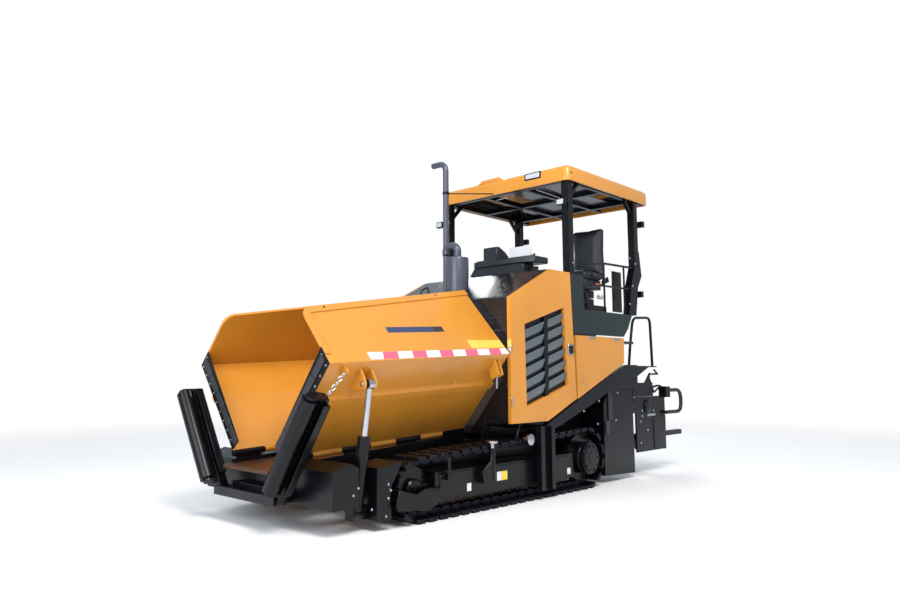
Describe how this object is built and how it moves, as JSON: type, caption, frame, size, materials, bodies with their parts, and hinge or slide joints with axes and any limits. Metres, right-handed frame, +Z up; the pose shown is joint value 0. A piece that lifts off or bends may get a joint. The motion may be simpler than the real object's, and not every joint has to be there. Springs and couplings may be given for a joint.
{
  "type": "asphalt paver",
  "caption": "Compact tracked asphalt paver tractor with folding hopper wings, folding push rollers, augers and a canopied operator platform.",
  "frame": {"origin": "on the ground under the middle of the machine's length and width", "axes": "+X forward towards the hopper, +Y to the machine's left, +Z up"},
  "size_m": [6.37, 2.09, 3.7226],
  "materials": {
    "yellow_paint": "gloss enamel",
    "black_paint": "satin black enamel",
    "grey_paint": "satin dark grey enamel",
    "green_paint": "satin dark green enamel",
    "frame_grey": "satin blue-grey enamel",
    "track_steel": "worn dark steel with pads",
    "rusty_steel": "brown oxidised plate",
    "rod_chrome": "polished",
    "flap_rubber": "matt grey rubber",
    "seat_vinyl": "dark vinyl",
    "console_plastic": "grained grey plastic",
    "engine_iron": "cast block"
  },
  "bodies": {
    "chassis": {"main_frame": "black_paint", "front_beam": "black_paint", "conveyor_deck": "rusty_steel", "hinge_sills": "black_paint", "cylinder_feet": "black_paint", "push_mount": "black_paint", "track_left": "track_steel", "track_right": "track_steel", "track_frames": "black_paint", "track_wheels": "black_paint", "track_guards": "black_paint", "tow_rails": "black_paint", "side_braces": "grey_paint", "rear_skirts": "black_paint", "engine_block": "engine_iron", "engine_hood": "black_paint", "tank_block": "black_paint", "platform": "black_paint", "side_boxes": "green_paint", "seat_base": "black_paint", "seat": "seat_vinyl", "console": "console_plastic", "canopy_roof": "yellow_paint", "roof_frame": "black_paint", "canopy_posts": "frame_grey", "exhaust": "frame_grey", "handrails": "frame_grey", "auger_mount": "grey_paint"},
    "wing_left": {"hopper_wing_left": "yellow_paint", "wing_flap_left": "flap_rubber"},
    "barrel_left": {"lift_barrel_left": "black_paint"},
    "rod_left": {"lift_rod_left": "rod_chrome"},
    "arm_left": {"push_arm_left": "black_paint"},
    "roller_left": {"push_roller_left": "black_paint"},
    "door_left": {"engine_door_left": "yellow_paint", "door_grille_left": "frame_grey"},
    "lid_left": {"rear_panel_left": "yellow_paint"},
    "auger_left": {"auger_left": "grey_paint"},
    "wing_right": {"hopper_wing_right": "yellow_paint", "wing_flap_right": "flap_rubber"},
    "barrel_right": {"lift_barrel_right": "black_paint"},
    "rod_right": {"lift_rod_right": "rod_chrome"},
    "arm_right": {"push_arm_right": "black_paint"},
    "roller_right": {"push_roller_right": "black_paint"},
    "door_right": {"engine_door_right": "yellow_paint", "door_grille_right": "frame_grey"},
    "lid_right": {"rear_panel_right": "yellow_paint"},
    "auger_right": {"auger_right": "grey_paint"}
  },
  "joints": [
    {"name": "wing_fold_left", "type": "hinge", "parent": "chassis", "child": "wing_left", "pos_m": [2.98, 0.35, 0.56], "axis": [-0.9987, 0, 0.0519], "range_deg": [0, 36]},
    {"name": "barrel_swing_left", "type": "hinge", "parent": "chassis", "child": "barrel_left", "pos_m": [2.545, 0.8, 0.14], "axis": [-1, 0, 0], "range_deg": [0, 25.68]},
    {"name": "rod_slide_left", "type": "slide", "parent": "barrel_left", "child": "rod_left", "axis": [0, -0.1441, -0.9896], "range_m": [0, 0.35948]},
    {"name": "arm_fold_left", "type": "hinge", "parent": "chassis", "child": "arm_left", "pos_m": [3.03, 0.42, 0.265], "axis": [-1, 0, 0], "range_deg": [0, 56]},
    {"name": "roller_spin_left", "type": "hinge", "parent": "arm_left", "child": "roller_left", "pos_m": [3.14, 0.42, 0.265], "axis": [0, 0.5592, 0.829], "continuous": true},
    {"name": "door_swing_left", "type": "hinge", "parent": "chassis", "child": "door_left", "pos_m": [0.7, 0.95, 1.4], "axis": [0, 0, -1], "range_deg": [0, 85]},
    {"name": "lid_lift_left", "type": "hinge", "parent": "chassis", "child": "lid_left", "pos_m": [-1.005, 0.95, 1.672], "axis": [1, 0, 0], "range_deg": [0, 80]},
    {"name": "auger_spin_left", "type": "hinge", "parent": "chassis", "child": "auger_left", "pos_m": [-2.385, 0.4, 0.43], "axis": [0, 1, 0], "continuous": true},
    {"name": "wing_fold_right", "type": "hinge", "parent": "chassis", "child": "wing_right", "pos_m": [2.98, -0.35, 0.56], "axis": [0.9987, 0, -0.0519], "range_deg": [0, 36]},
    {"name": "barrel_swing_right", "type": "hinge", "parent": "chassis", "child": "barrel_right", "pos_m": [2.545, -0.8, 0.14], "axis": [1, 0, 0], "range_deg": [0, 25.68]},
    {"name": "rod_slide_right", "type": "slide", "parent": "barrel_right", "child": "rod_right", "axis": [0, 0.1441, -0.9896], "range_m": [0, 0.35948]},
    {"name": "arm_fold_right", "type": "hinge", "parent": "chassis", "child": "arm_right", "pos_m": [3.03, -0.42, 0.265], "axis": [1, 0, 0], "range_deg": [0, 56]},
    {"name": "roller_spin_right", "type": "hinge", "parent": "arm_right", "child": "roller_right", "pos_m": [3.14, -0.42, 0.265], "axis": [0, -0.5592, 0.829], "continuous": true},
    {"name": "door_swing_right", "type": "hinge", "parent": "chassis", "child": "door_right", "pos_m": [0.7, -0.95, 1.4], "axis": [0, 0, 1], "range_deg": [0, 85]},
    {"name": "lid_lift_right", "type": "hinge", "parent": "chassis", "child": "lid_right", "pos_m": [-1.005, -0.95, 1.672], "axis": [-1, 0, 0], "range_deg": [0, 80]},
    {"name": "auger_spin_right", "type": "hinge", "parent": "chassis", "child": "auger_right", "pos_m": [-2.385, -0.4, 0.43], "axis": [0, 1, 0], "continuous": true}
  ],
  "couplings": [
    {"joint": "barrel_swing_left", "follows": "wing_fold_left", "ratio": 0.71325},
    {"joint": "rod_slide_left", "follows": "wing_fold_left", "m_per_rad": 0.57212},
    {"joint": "barrel_swing_right", "follows": "wing_fold_right", "ratio": 0.71325},
    {"joint": "rod_slide_right", "follows": "wing_fold_right", "m_per_rad": 0.57212}
  ]
}
